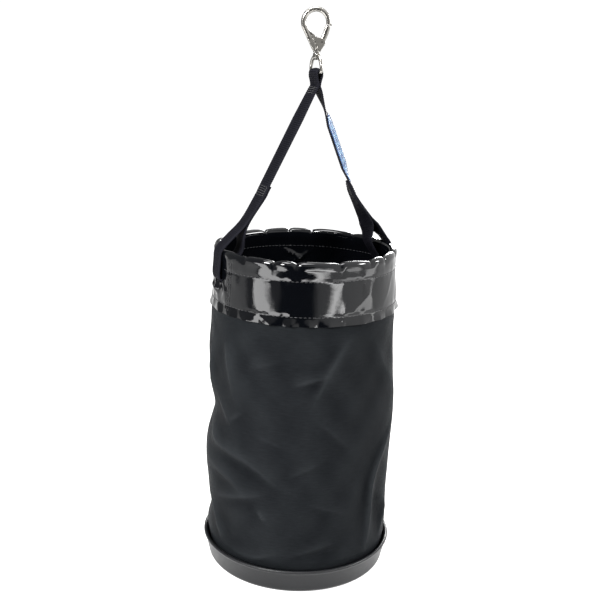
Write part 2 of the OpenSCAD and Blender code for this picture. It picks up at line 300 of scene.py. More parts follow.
def cast(name, parts, material, voxel, smooth=6):
    """Fuses overlapping solids into one smooth casting."""
    bpy.ops.object.select_all(action="DESELECT")
    for part in parts:
        part.select_set(True)
    bpy.context.view_layer.objects.active = parts[0]
    bpy.ops.object.join()
    obj = parts[0]
    obj.name = name
    remesh = obj.modifiers.new("fuse", "REMESH")
    remesh.mode = "VOXEL"
    remesh.voxel_size = voxel
    polish = obj.modifiers.new("polish", "SMOOTH")
    polish.iterations = smooth
    polish.factor = 0.5
    apply_modifiers(obj)
    obj.data.materials.clear()
    obj.data.materials.append(material)
    return obj


# ---------------------------------------------------------------- materials

class Nodes:
    """A node tree, with short ways to add and join nodes."""

    def __init__(self, tree):
        self.tree = tree

    def add(self, kind, inputs=(), **settings):
        node = self.tree.nodes.new("ShaderNode" + kind)
        for key, value in settings.items():
            setattr(node, key, value)
        for key, value in dict(inputs).items():
            if isinstance(value, bpy.types.NodeSocket):
                self.tree.links.new(value, node.inputs[key])
            else:
                node.inputs[key].default_value = value
        return node

    def math(self, operation, a, b=0.0):
        return self.add("Math", {0: a, 1: b}, operation=operation).outputs[0]

    def ramp(self, value, start, end, low=0.0, high=1.0):
        """Maps start to end onto low to high, and holds the value beyond them."""
        inputs = {"Value": value, "From Min": start, "From Max": end, "To Min": low, "To Max": high}
        return self.add("MapRange", inputs).outputs[0]

    def span(self, value, low, high):
        """Maps 0 to 1 onto low to high."""
        return self.ramp(value, 0.0, 1.0, low, high)


class Shader(Nodes):
    """A material and its node tree."""

    def __init__(self, name, color, roughness, **sockets):
        self.material = bpy.data.materials.new(name)
        self.material.use_nodes = True
        super().__init__(self.material.node_tree)
        self.bsdf = self.tree.nodes["Principled BSDF"]
        self.bsdf.inputs["Base Color"].default_value = (*color, 1)
        self.bsdf.inputs["Roughness"].default_value = roughness
        for key, value in sockets.items():
            self.bsdf.inputs[key.replace("_", " ").title().replace("Ior", "IOR")].default_value = value

    def cloth(self):
        """The sheet's own coordinates, in metres along its length and its height."""
        return self.add("UVMap", uv_map="cloth").outputs["UV"]

    def noise(self, scale, where=None, detail=3.0, roughness=0.55):
        where = where or self.add("TexCoord").outputs["Object"]
        inputs = {"Vector": where, "Scale": scale, "Detail": detail, "Roughness": roughness}
        return self.add("TexNoise", inputs).outputs["Fac"]

    def threads(self, pitch, direction, where):
        """Parallel threads every pitch metres, from 0 to 1."""
        scale = math.pi / (10 * pitch)
        wave = self.add("TexWave", {"Vector": where, "Scale": scale}, bands_direction=direction)
        return wave.outputs["Fac"]

    def blend(self, factor, a, b):
        """Colour a where the factor is 0 and b where it is 1."""
        node = self.add("Mix", data_type="RGBA")
        for key, value in (("Factor", factor), ("A", a), ("B", b)):
            kind = "VALUE" if key == "Factor" else "RGBA"
            socket = next(s for s in node.inputs if s.name == key and s.type == kind)
            if isinstance(value, bpy.types.NodeSocket):
                self.tree.links.new(value, socket)
            else:
                socket.default_value = value if key == "Factor" else (*value, 1)
        return next(s for s in node.outputs if s.type == "RGBA")

    def worn_edges(self, low, high):
        """0 in the flats to 1 on raised edges."""
        return self.ramp(self.add("NewGeometry").outputs["Pointiness"], low, high)

    def color(self, socket):
        self.tree.links.new(socket, self.bsdf.inputs["Base Color"])

    def roughness(self, socket):
        self.tree.links.new(socket, self.bsdf.inputs["Roughness"])

    def bumps(self, *layers):
        """Stacks (height, depth in metres, strength) layers."""
        normal = None
        for height, depth, strength in layers:
            inputs = {"Height": height, "Distance": depth, "Strength": strength}
            if normal is not None:
                inputs["Normal"] = normal
            normal = self.add("Bump", inputs).outputs[0]
        self.tree.links.new(normal, self.bsdf.inputs["Normal"])


def canvas_material():
    """Matt black plain weave: streaked, with painted shade in the hollows of its folds and a painted
    highlight on their crests.
    """
    s = Shader("canvas_weave", (0.010, 0.012, 0.014), 0.6, specular_ior_level=0.02)
    cloth = s.cloth()
    pitch = 1.1 * MM
    warp = s.math("SUBTRACT", s.threads(pitch, "X", cloth), 0.5)
    weft = s.math("SUBTRACT", s.threads(pitch, "Y", cloth), 0.5)
    weave = s.math("ADD", s.math("MULTIPLY", s.math("MULTIPLY", warp, weft), 2.0), 0.5)
    mottle = s.noise(11, detail=5)
    slub = s.noise(420, detail=2)
    drawn_out = s.add("Mapping", {"Vector": cloth, "Scale": (0.12, 1, 1)}).outputs[0]
    streaks = s.noise(620, drawn_out, detail=3, roughness=0.7)
    tone = s.blend(mottle, (0.0048, 0.0060, 0.0072), (0.0080, 0.0096, 0.0109))
    rubbed = s.blend(0.35, tone, (0.02, 0.022, 0.024))
    tone = s.blend(s.span(streaks, -0.9, 1.6), s.blend(0.45, tone, (0, 0, 0)), rubbed)
    tone = s.blend(s.span(weave, 0.0, 0.3), tone, (0.014, 0.0155, 0.018))
    tone = s.blend(s.span(s.worn_edges(0.505, 0.56), 0.0, 0.5), tone, (0.03, 0.033, 0.035))
    # Painted shade in the hollows of the folds and a painted highlight on their crests, read from the stored
    # shading attribute.
    painted_fold_light = s.add("Attribute", attribute_name="painted_fold_light").outputs["Fac"]
    painted_hollow_shade = s.blend(0.55, tone, (0.0015, 0.002, 0.003))
    painted_crest_highlight = s.blend(0.35, tone, (0.030, 0.033, 0.036))
    s.color(s.blend(painted_fold_light, painted_hollow_shade, painted_crest_highlight))
    s.roughness(s.span(slub, 0.42, 0.6))
    s.bumps((mottle, 1.2 * MM, 0.35), (slub, 0.3 * MM, 0.5), (weave, 0.28 * MM, 0.7))
    return s.material


def vinyl_material():
    """Glossy black coating with faint scuffs, through which the scrim under it just shows."""
    s = Shader("vinyl_coated", (0.003, 0.0035, 0.0045), 0.12, specular_ior_level=0.38)
    cloth = s.cloth()
    scrim = s.math("ADD", s.threads(1.5 * MM, "X", cloth), s.threads(1.5 * MM, "Y", cloth))
    scuffs = s.noise(38, detail=6, roughness=0.7)
    ripple = s.noise(55, detail=2)
    s.color(s.blend(scuffs, (0.0008, 0.0011, 0.0017), (0.0018, 0.002, 0.0027)))
    s.roughness(s.span(scuffs, 0.03, 0.08))
    s.bumps((ripple, 0.8 * MM, 0.12), (scrim, 0.05 * MM, 0.1))
    return s.material


def webbing_material():
    """Black woven webbing: fine yarns, dust and pale worn edges."""
    s = Shader("webbing_ribbed", (0.012, 0.012, 0.017), 0.6, specular_ior_level=0.04)
    cloth = s.cloth()
    yarns = s.threads(0.9 * MM, "X", cloth)
    fuzz = s.noise(900, detail=2)
    dust = s.noise(60, detail=4)
    tone = s.blend(dust, (0.0023, 0.0023, 0.0038), (0.0045, 0.0045, 0.0066))
    tone = s.blend(s.span(s.worn_edges(0.50, 0.60), 0.0, 0.5), tone, (0.025, 0.025, 0.033))
    s.color(tone)
    s.roughness(s.span(fuzz, 0.5, 0.75))
    s.bumps((yarns, 0.25 * MM, 0.6), (fuzz, 0.2 * MM, 0.4))
    return s.material


def grained_material(name, base, roughness, dark, pale, bump, grain, **sockets):
    """A material whose colour and bumps both follow one noise."""
    s = Shader(name, base, roughness, **sockets)
    height = s.noise(**grain)
    s.color(s.blend(height, dark, pale))
    s.bumps((height, *bump))
    return s.material


def thread_material(name, color):
    """Twisted sewing thread of that colour."""
    dark, pale = ([share * c for c in color] for share in (0.7, 1.5))
    return grained_material(name, color, 0.5, dark, pale, (0.15 * MM, 0.6), dict(scale=1400, detail=2),
                            sheen_weight=0.1)


def label_material():
    """A woven label: pale blue ground, dark blue borders and a band of plain lozenges."""
    s = Shader("label_woven", (0.4, 0.55, 0.8), 0.55, sheen_weight=0.15)
    cloth = s.cloth()
    split = s.add("SeparateXYZ", {0: cloth})
    side, along = split.outputs[0], split.outputs[1]
    off_middle = s.math("ABSOLUTE", side)
    wave = s.math("PINGPONG", along, 5.5 * MM)
    lozenge = s.math("LESS_THAN", s.math("ADD", off_middle, wave), 5.4 * MM)
    border = s.math("GREATER_THAN", off_middle, 8.2 * MM)
    line = s.math("LESS_THAN", s.math("ABSOLUTE", s.math("SUBTRACT", off_middle, 6.6 * MM)), 0.5 * MM)
    grain = s.noise(700, detail=2)
    ground = s.blend(grain, (0.05, 0.15, 0.27), (0.14, 0.29, 0.44))
    blue = s.blend(grain, (0.008, 0.03, 0.12), (0.02, 0.08, 0.22))
    s.color(s.blend(s.math("MAXIMUM", s.math("MAXIMUM", lozenge, border), line), ground, blue))
    s.bumps((s.threads(0.55 * MM, "Y", cloth), 0.12 * MM, 0.6), (grain, 0.1 * MM, 0.4))
    return s.material


def cup_material():
    """Moulded black plastic with a fine grain, cloudy patches and scratches."""
    s = Shader("cup_moulded", (0.018, 0.019, 0.021), 0.38, specular_ior_level=0.28)
    cloudy = s.noise(14, detail=4)
    grain = s.noise(1600, detail=1)
    scratch = s.noise(120, detail=6, roughness=0.75)
    s.color(s.blend(cloudy, (0.0055, 0.0059, 0.0068), (0.0095, 0.0099, 0.011)))
    s.roughness(s.span(scratch, 0.26, 0.5))
    s.bumps((cloudy, 0.6 * MM, 0.12), (grain, 0.06 * MM, 0.4))
    return s.material


def metal_material(name, dark, pale, rough, depth):
    """Plated metal between a dark and a pale tone, worn pale on its edges."""
    s = Shader(name, pale, rough[0], metallic=1.0)
    cloudy = s.noise(160, detail=5)
    pits = s.noise(1800, detail=2)
    worn = s.worn_edges(0.48, 0.60)
    s.color(s.blend(s.math("MULTIPLY", cloudy, worn), dark, pale))
    s.roughness(s.span(cloudy, rough[0], rough[1]))
    s.bumps((cloudy, depth, 0.3), (pits, 0.02 * MM, 0.15))
    return s.material


def floor_material():
    """A white floor that glows, but throws little light on the bag."""
    s = Shader("studio_floor", (0.4, 0.4, 0.4), 0.9, specular_ior_level=0.1, emission_color=(1, 1, 1, 1),
               emission_strength=0.95)
    s.color(s.blend(s.noise(3), (0.38, 0.38, 0.38), (0.42, 0.42, 0.42)))
    glow = s.span(s.add("LightPath").outputs["Is Diffuse Ray"], 0.95, 0.2)
    s.tree.links.new(glow, s.bsdf.inputs["Emission Strength"])
    return s.material


CANVAS_LOOK = canvas_material()
VINYL_LOOK = vinyl_material()
WEBBING_LOOK = webbing_material()
THREAD_LOOK = thread_material("thread_black", (0.0042, 0.0042, 0.0055))
LABEL_THREAD_LOOK = thread_material("thread_blue", (0.03, 0.10, 0.32))
LABEL_LOOK = label_material()
CUP_LOOK = cup_material()
STEEL_LOOK = metal_material("steel_plated", (0.26, 0.25, 0.23), (0.52, 0.51, 0.485), (0.16, 0.32), 0.12 * MM)
HOOP_LOOK = metal_material("steel_spring", (0.3, 0.3, 0.31), (0.5, 0.51, 0.52), (0.25, 0.4), 0.1 * MM)
BOARD_LOOK = grained_material("stiffener_board", (0.08, 0.08, 0.085), 0.8, (0.055, 0.055, 0.06),
                              (0.12, 0.12, 0.125), (0.4 * MM, 0.5), dict(scale=260, detail=6, roughness=0.75))
ADHESIVE_LOOK = grained_material("cured_adhesive", (0.5, 0.45, 0.33), 0.45, (0.38, 0.33, 0.22),
                                 (0.6, 0.54, 0.4), (0.5 * MM, 0.5), dict(scale=90, detail=4))


# ---------------------------------------------------------------- canvas tube

# Where the canvas bulges (+) or sinks (-): azimuth, height, half width in degrees, half height and, in
# millimetres, the amount
SWELLS = [
    (-84, 0.212, 30, 0.024, -7.5),
    (-88, 0.148, 34, 0.034, 5.2),
    (-84, 0.074, 22, 0.018, -4.5),
    (-95, 0.285, 30, 0.030, 1.5),
    (84, 0.200, 32, 0.060, 4.6),
    (60, 0.115, 12, 0.045, -3.0),
    (20, 0.180, 40, 0.080, 1.6),
    (-25, 0.205, 22, 0.045, -1.8),
    (-20, 0.100, 26, 0.040, 1.8),
    (140, 0.190, 26, 0.050, -4.5),
    (170, 0.110, 30, 0.040, 3.0),
    (-140, 0.250, 26, 0.050, 2.5),
    (-150, 0.130, 24, 0.040, -4.0),
]

FOLD_DEPTH = 3.0               # what the heights of these folds are multiplied by, and their widths
FOLD_SPREAD = 1.3
MOST_RELIEF = 5.5 * MM         # the canvas stands no further out than this

# Folds of the canvas: places that the fold runs through, its height and its width in millimetres, and how
# much softer its far side is
FOLDS = [
    ([(27, 0.331), (17, 0.296), (8, 0.257)], 1.9, 5, 3.0),
    ([(-4, 0.276), (6, 0.283), (16, 0.289)], 1.5, 4, 2.5),
    ([(-72, 0.312), (-73, 0.270), (-70, 0.235)], 2.2, 7, 2.0),
    ([(-52, 0.318), (-47, 0.280), (-44, 0.252)], 1.6, 8, 2.5),
    ([(-78, 0.200), (-60, 0.181), (-32, 0.170), (-10, 0.143)], 2.4, 8, 3.5),
    ([(-70, 0.150), (-45, 0.140), (-30, 0.118)], 1.6, 8, 3.0),
    ([(-56, 0.108), (-38, 0.120), (-21, 0.131)], 1.7, 5, 2.5),
    ([(-24, 0.110), (-18, 0.096)], 1.5, 4, 2.0),
    ([(-44, 0.042), (-30, 0.040), (-14, 0.052)], 1.6, 5, 2.0),
    ([(-68, 0.090), (-58, 0.062), (-52, 0.046)], 2.0, 6, 2.0),
    ([(-62, 0.238), (-48, 0.212)], 1.1, 4, 2.5),
    ([(-48, 0.214), (-36, 0.232)], 0.8, 3, 2.5),
    ([(-28, 0.208), (-6, 0.195)], 0.5, 3, 3.0),
    ([(-6, 0.158), (14, 0.180)], 0.6, 3, 3.0),
    ([(6, 0.124), (30, 0.106)], 0.6, 3, 2.5),
    ([(-6, 0.052), (24, 0.068)], 0.9, 4, 2.5),
    ([(10, 0.234), (34, 0.186)], 0.7, 4, 3.0),
    ([(-34, 0.290), (-10, 0.306)], 0.5, 4, 3.0),
    ([(71, 0.205), (58, 0.170), (51, 0.140), (50, 0.098), (47, 0.046)], 3.2, 5, 2.5),
    ([(63, 0.105), (72, 0.088), (66, 0.050)], 2.0, 5, 2.0),
    ([(46, 0.330), (58, 0.290), (74, 0.250)], 1.4, 9, 3.0),
    ([(104, 0.330), (112, 0.240), (100, 0.160)], 2.4, 8, 2.5),
    ([(128, 0.140), (150, 0.170), (178, 0.165)], 2.6, 7, 3.0),
    ([(150, 0.320), (166, 0.270), (190, 0.240)], 2.0, 7, 2.5),
    ([(200, 0.110), (222, 0.150), (238, 0.205)], 2.6, 7, 2.5),
    ([(205, 0.310), (228, 0.280), (250, 0.285)], 1.8, 6, 3.0),
    ([(160, 0.050), (176, 0.075), (196, 0.060)], 1.8, 6, 2.0),
]


def wall_radius(z):
    """Radius of the unwrinkled tube: tucked in at the foot, widest low down and narrower at the hem."""
    heights = [WALL_FOOT, 9 * MM, CUP_H + 10 * MM, 0.55 * COLLAR_TOP, COLLAR_Z, HEM_Z - 3 * MM, COLLAR_TOP]
    radii = np.array([10, 5.5, 0, 0, 2.1, 5.3, 5.3]) * -MM + WALL_R
    return np.interp(z, heights, radii)


def fold(az, z, path, height, width, softness):
    """A fold's ridge along a path of places: steep on one side and soft on the other, fading at both ends."""
    here = np.stack([np.radians(az) * WALL_R, z], -1)
    line = [(math.radians(a) * WALL_R, h) for a, h in path]
    line = curve_through(line, 2 * MM)
    best = np.full(az.shape, np.inf)
    side = np.zeros(az.shape)
    share = np.zeros(az.shape)
    for k in range(len(line) - 1):
        a, b = line[k], line[k + 1]
        step = b - a
        d = here - a
        d[..., 0] = (d[..., 0] + math.pi * WALL_R) % (2 * math.pi * WALL_R) - math.pi * WALL_R
        t = np.clip((d @ step) / (step @ step), 0, 1)
        off = d - t[..., None] * step
        distance = np.linalg.norm(off, axis=-1)
        nearer = distance < best
        best = np.where(nearer, distance, best)
        side = np.where(nearer, d[..., 0] * step[1] - d[..., 1] * step[0], side)
        share = np.where(nearer, (k + t) / (len(line) - 1), share)
    reach = np.where(side > 0, width, width * softness)
    ridge = np.exp(-best / reach) - 0.45 * np.exp(-(best / (2.2 * reach)) ** 2)
    return height * ridge * np.sin(np.pi * np.clip(share, 0.03, 0.97)) ** 0.6


def wall_relief(az, z):
    """How far the canvas stands out from the plain tube."""
    out = np.zeros(np.broadcast(az, z).shape)
    for centre, height, half_width, half_height, amount in SWELLS:
        out += amount * MM * bell(turn(az, centre), half_width) * bell(z - height, half_height)
    for path, height, width, softness in FOLDS:
        out += fold(az, z, path, FOLD_DEPTH * (height * MM), FOLD_SPREAD * (width * MM), softness)
    out += 1.1 * MM * soft_noise(3, az, z, (2, 7), 0.16)
    out += 0.4 * MM * soft_noise(4, az, z, (7, 18), 0.05)
    clear_of_cup = smoothstep(CUP_H - 8 * MM, CUP_H + 22 * MM, z)
    clear_of_collar = 1 - smoothstep(COLLAR_Z - 24 * MM, COLLAR_Z + 4 * MM, z)
    return np.minimum(out, MOST_RELIEF) * clear_of_cup * clear_of_collar


def store_painted_fold_shading(obj, relief):
    """Stores the painted shading of each point of a shell: 0 for painted shade in the hollows, 1 for a
    painted highlight on the crests of its relief.
    """
    beside, above = 9, 7                     # grid points averaged on each side of a point
    smooth = sum(np.roll(relief, k, 1) for k in range(-beside, beside + 1)) / (2 * beside + 1)
    smooth = np.pad(smooth, ((above, above), (0, 0)), mode="edge")
    smooth = sum(smooth[k:k + len(relief)] for k in range(2 * above + 1)) / (2 * above + 1)
    painted_fold_light = np.clip(0.5 + (relief - smooth) / (3.2 * MM), 0, 1)
    layer = obj.data.attributes.new("painted_fold_light", "FLOAT", "POINT")
    layer.data.foreach_set("value", np.concatenate([painted_fold_light.ravel(), painted_fold_light.ravel()]).astype(np.float32))


def canvas_wall():
    """The canvas tube, from the cup's floor to the hem under the hoop. Returns its outer face."""
    az, us = columns(300, WALL_R)
    z = np.linspace(WALL_FOOT, WALL_TOP, 160)
    az_grid, z_grid = np.meshgrid(az, z)
    relief = wall_relief(az_grid, z_grid)
    points = around(az_grid, wall_radius(z_grid) + relief, z_grid)
    wall = shell("canvas_wall", points, CANVAS, CANVAS_LOOK, us, z, slot_cells(az, z))
    # Stores the painted fold shading that the canvas material reads.
    store_painted_fold_shading(wall, relief)
    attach(wall, "bag")
    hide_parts("cloth_wall")
    return points


def slot_cells(az, z):
    """Marks the cells of a grid that lie in the two slots for the webbing, given its azimuths and heights."""
    mid_az = az + 180 / len(az)
    mid_z = (z[1:] + z[:-1]) / 2
    half = math.degrees((STRAP_W / 2 + 1.5 * MM) / WALL_R)
    beside = (np.abs(turn(mid_az, LEFT_AZ)) < half) | (np.abs(turn(mid_az, RIGHT_AZ)) < half)
    level = np.abs(mid_z - SLOT_Z) < SLOT_H / 2
    return level[:, None] & beside[None, :]


def canvas_bottom():
    """The round bottom with its turned-up hem, laid in the cup."""
    edge = BOTTOM_R
    az, us = columns(180, edge)
    level_r = np.linspace(2 * MM, edge - 4 * MM, 26)
    flat_r = np.append(level_r, [edge - 1.5 * MM, edge, edge + 0.6 * MM])
    rise = np.concatenate([0 * level_r, [0.5 * MM, 2 * MM, 4 * MM]])
    hem_z = np.linspace(6 * MM, BOTTOM_TOP - WALL_FOOT, 5)
    hem_r = edge + 0.8 * MM + (hem_z - 6 * MM) * HEM_LEAN
    r = np.concatenate([flat_r, hem_r])
    z = np.concatenate([rise, hem_z]) + WALL_FOOT + CANVAS
    waves = 0.25 * MM * np.sin(np.radians(az) * 34)[None, :] * (np.arange(len(r)) >= len(flat_r))[:, None]
    points = around(az[None, :], r[:, None] + waves, np.repeat(z[:, None], len(az), 1))
    bottom = shell("canvas_bottom", points[::-1], -0.9 * CANVAS, CANVAS_LOOK, us, r[::-1])
    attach(bottom, "bag")
    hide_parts("cloth_bottom")


# ---------------------------------------------------------------- vinyl collar

GATHERS = 17                   # gathers of the vinyl round the hoop

# Folds of the collar, given like those of the canvas
COLLAR_FOLDS = [
    ([(26, 0.358), (34, 0.372), (44, 0.386)], 0.7, 5, 3.0),
    ([(54, 0.364), (62, 0.380), (68, 0.400)], 1.5, 4, 2.0),
    ([(73, 0.352), (79, 0.374), (86, 0.392)], 1.6, 4, 2.0),
    ([(48, 0.342), (58, 0.350), (72, 0.346)], 1.3, 4, 2.0),
    ([(140, 0.350), (158, 0.375), (163, 0.398)], 1.4, 5, 2.5),
    ([(205, 0.345), (214, 0.372), (236, 0.392)], 1.5, 5, 2.5),
]

# Folds of its inner face, hanging in the bag
LINING_FOLDS = [
    ([(179, 0.374), (186, 0.386), (197, 0.396)], 6.5, 4, 1.6),
    ([(176, 0.394), (183, 0.384), (192, 0.378)], 6.0, 4, 1.6),
    ([(150, 0.394), (156, 0.380), (152, 0.366)], 1.8, 5, 2.5),
    ([(212, 0.396), (216, 0.382), (211, 0.368)], 1.8, 5, 2.5),
    ([(128, 0.392), (134, 0.376), (129, 0.360)], 1.8, 5, 2.5),
]


def gather_lobes(az):
    """Rounded lobes between sharp gathers, unevenly spaced: 1 on a lobe, down to 0 in the deepest gather."""
    rng = np.random.default_rng(11)
    edges = (np.arange(GATHERS) + rng.uniform(-0.32, 0.32, GATHERS)) * 360 / GATHERS
    depth = rng.uniform(0.45, 1.0, GATHERS + 1)
    edges = np.append(edges, edges[0] + 360)
    a = (az - edges[0]) % 360 + edges[0]
    k = np.clip(np.searchsorted(edges, a, side="right") - 1, 0, GATHERS - 1)
    t = (a - edges[k]) / (edges[k + 1] - edges[k])
    lean = rng.choice([0.22, 0.3, 0.5, 0.75], GATHERS)[k]
    t = np.where(t < lean, 0.5 * t / lean, 0.5 + 0.5 * (t - lean) / (1 - lean))
    return 1 - depth[k] * (1 - (4 * t * (1 - t)) ** 0.6)


def hem_facets(az):
    """Flat facets between the creases of the lower hem, from 0 at a crease to 1 at a facet's middle."""
    warped = az + 4 * np.sin(np.radians(3 * az + 40)) + 2.5 * np.sin(np.radians(7 * az))
    return 1 - np.abs((warped / 7.2) % 2 - 1)


def collar_path():
    """The strip's outline, from its lower outer edge over the hoop to its lower inner edge."""
    gap = LAY + VINYL / 2
    outside = [(wall_radius(z) + gap, z) for z in np.linspace(COLLAR_Z, HOOP_Z - 4 * MM, 34)]
    roll = arc((HOOP_R, HOOP_Z), ROLL_R - VINYL / 2, 0, 180, 19)
    inside = [(wall_radius(z) - CANVAS - gap, z) for z in np.linspace(HEM_Z, COLLAR_Z - 5 * MM, 22)]
    tuck = [(HOOP_R - ROLL_R + 0.5 * MM, HOOP_Z - 8 * MM)]
    return np.array(outside + roll + tuck + inside), len(outside), len(outside) + len(roll)


def collar_relief(az, z, row, roll_start, roll_end):
    """How far the vinyl stands off its plain outline, along the outline's own normal."""
    lobes = gather_lobes(az)
    outer = row < roll_start
    inner = row >= roll_end
    rolled = ~outer & ~inner
    below = np.clip(HOOP_Z - z, 0, None)
    out = 0.7 * MM * soft_noise(21, az, z, (3, 9), 0.10) * smoothstep(0, 0.02, below)
    pleats = (lobes - 0.75) * np.where(rolled, 1.0, np.exp(-below / (4.5 * MM)))
    out = out + 3.8 * MM * pleats
    out = out + 0.16 * MM * soft_noise(22, az, z, (12, 26), 0.04)
    for seam_z in (HEM_Z, LOW_HEM_Z):
        off = z - seam_z
        pucker = soft_noise(23, az, 0 * z, (34, 60), 1.0) * np.exp(-np.abs(off) / (5 * MM))
        out = out - 0.75 * MM * bell(off, 1.6 * MM) + 0.4 * MM * pucker
    seam = turn(az, SEAM_AZ)
    raised = smoothstep(-9, -6, seam) * (1 - smoothstep(-0.35, 0.35, seam)) * outer
    out = out + VINYL * raised
    out = out - 1.1 * MM * bell(seam + 1.2, 1.1) * outer * (z < HOOP_Z - 6 * MM)
    for slot_az in (LEFT_AZ, RIGHT_AZ):
        near = turn(az, slot_az)
        beside = bell(near, 13) * bell(z - (HEM_Z - 24 * MM), 17 * MM)
        crumple = soft_noise(25, az, z, (26, 44), 0.016) * beside
        out = out + 2.2 * MM * crumple * outer
        pressed = bell(near, 8) * (z > HEM_Z - 14 * MM)
        out = out * (1 - 0.7 * pressed) - 0.5 * MM * pressed
    for path, height, width, softness in COLLAR_FOLDS:
        out = out + fold(az, z, path, height * MM, width * MM, softness) * outer
    clear = 0.5 * (out + np.sqrt(out ** 2 + (0.9 * MM) ** 2)) - 0.6 * MM
    flare = smoothstep(LOW_HEM_Z, COLLAR_Z, z) * outer
    return np.where(outer, clear, out) + flare * 2.4 * MM * hem_facets(az)


def vinyl_collar():
    """The collar's strip, rolled over the hoop. Returns the grids and heights of its face and its lining."""
    path, roll_start, roll_end = collar_path()
    az, us = columns(480, HOOP_R)
    tangent = unit(np.gradient(path, axis=0))
    normal = np.stack([tangent[:, 1], -tangent[:, 0]], -1)
    row = np.arange(len(path))[:, None] + np.zeros((1, len(az)))
    az_grid = np.repeat(az[None, :], len(path), 0)
    z_grid = np.repeat(path[:, 1:], len(az), 1)
    off = collar_relief(az_grid, z_grid, row, roll_start, roll_end)
    inner_off = 0.8 * MM * (1 + 0.5 * soft_noise(31, az_grid, z_grid, (4, 11), 0.09))
    for fold_path, height, width, softness in LINING_FOLDS:
        inner_off = inner_off + np.abs(fold(az_grid, z_grid, fold_path, height * MM, width * MM, softness))
    off = np.where(row >= roll_end, inner_off, off)
    off = off + VINYL / 2
    r = path[:, :1] + normal[:, :1] * off
    z = path[:, 1:] + normal[:, 1:] * off
    points = around(az_grid, r, z)
    length = travel(path)
    collar = shell("vinyl_collar", points, VINYL, VINYL_LOOK, us, length, slot_cells(az, path[:, 1]))
    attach(collar, "bag")
    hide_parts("collar")
    outside = (points[:roll_start], path[:roll_start, 1])
    lining = (points[:roll_end - 1:-1], path[:roll_end - 1:-1, 1])
    return outside, lining


# ---------------------------------------------------------------- stitches

def stitches(name, places, radius, material, sag=0.5):
    """Threads laid on a surface: each place is a start, an end and the surface's outward normal."""
    sides, rings = 6, 6
    vertices, faces = [], []
    for start, end, out in places:
        start, end, out = np.array(start), np.array(end), unit(np.array(out))
        along = unit(end - start)
        across = np.cross(out, along)
        first = len(vertices)
        for k in range(rings):
            t = k / (rings - 1)
            dive = (2 * t - 1) ** 4
            centre = start + (end - start) * t + out * radius * (0.55 - (1 + sag) * dive)
            girth = radius * (1 - 0.45 * dive)
            for q in range(sides):
                a = 2 * math.pi * q / sides
                vertices.append(centre + girth * (math.cos(a) * across + math.sin(a) * out))
        for k in range(rings - 1):
            for q in range(sides):
                a, b = first + k * sides + q, first + k * sides + (q + 1) % sides
                faces.append([a, b, b + sides, a + sides])
        faces.append([first + q for q in range(sides)][::-1])
        faces.append([first + (rings - 1) * sides + q for q in range(sides)])
    return make_object(name, vertices, faces, material)


def on_grid(points, row, col):
    """The point of a grid, closed round the bag, at a fractional row and column."""
    rows, cols = points.shape[:2]
    i = int(min(max(row, 0), rows - 1.001))
    j = int(math.floor(col))
    u, v = col - j, row - i
    a = points[i, j % cols] * (1 - u) + points[i, (j + 1) % cols] * u
    b = points[i + 1, j % cols] * (1 - u) + points[i + 1, (j + 1) % cols] * u
    return a * (1 - v) + b * v


def ring_row(points, heights, z, pitch, length, skip=(), inward=False):
    """Places of a row of stitches round a grid at height z, leaving out (azimuth, half width) gaps."""
    cols = points.shape[1]
    row = float(np.interp(z, heights, np.arange(len(heights))))
    count = round(2 * math.pi * WALL_R / pitch)
    share = length / pitch
    places = []
    for k in range(count):
        az = k * 360 / count
        if any(abs(turn(az, gap)) < half for gap, half in skip):
            continue
        start = on_grid(points, row, k * cols / count)
        end = on_grid(points, row, (k + share) * cols / count)
        out = around(az, 1.0, 0.0)
        places.append((start, end, -out if inward else out))
    return places


def rows_up(points, heights, azimuths, low, high, pitch, length, inward=False):
    """Places of vertical rows of stitches at these azimuths."""
    cols = points.shape[1]
    places = []
    for az in azimuths:
        for z in np.arange(low, high - length, pitch):
            ends = [float(np.interp(h, heights, np.arange(len(heights)))) for h in (z, z + length)]
            start, end = (on_grid(points, e, az % 360 * cols / 360) for e in ends)
            out = around(az, 1.0, 0.0)
            places.append((start, end, -out if inward else out))
    return places


def sewn(name, places, radius, node, body="bag", material=None):
    """One node's thread as a piece that rides on its body."""
    piece = stitches(name, places, radius, material or THREAD_LOOK)
    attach(piece, body)
    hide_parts(node)


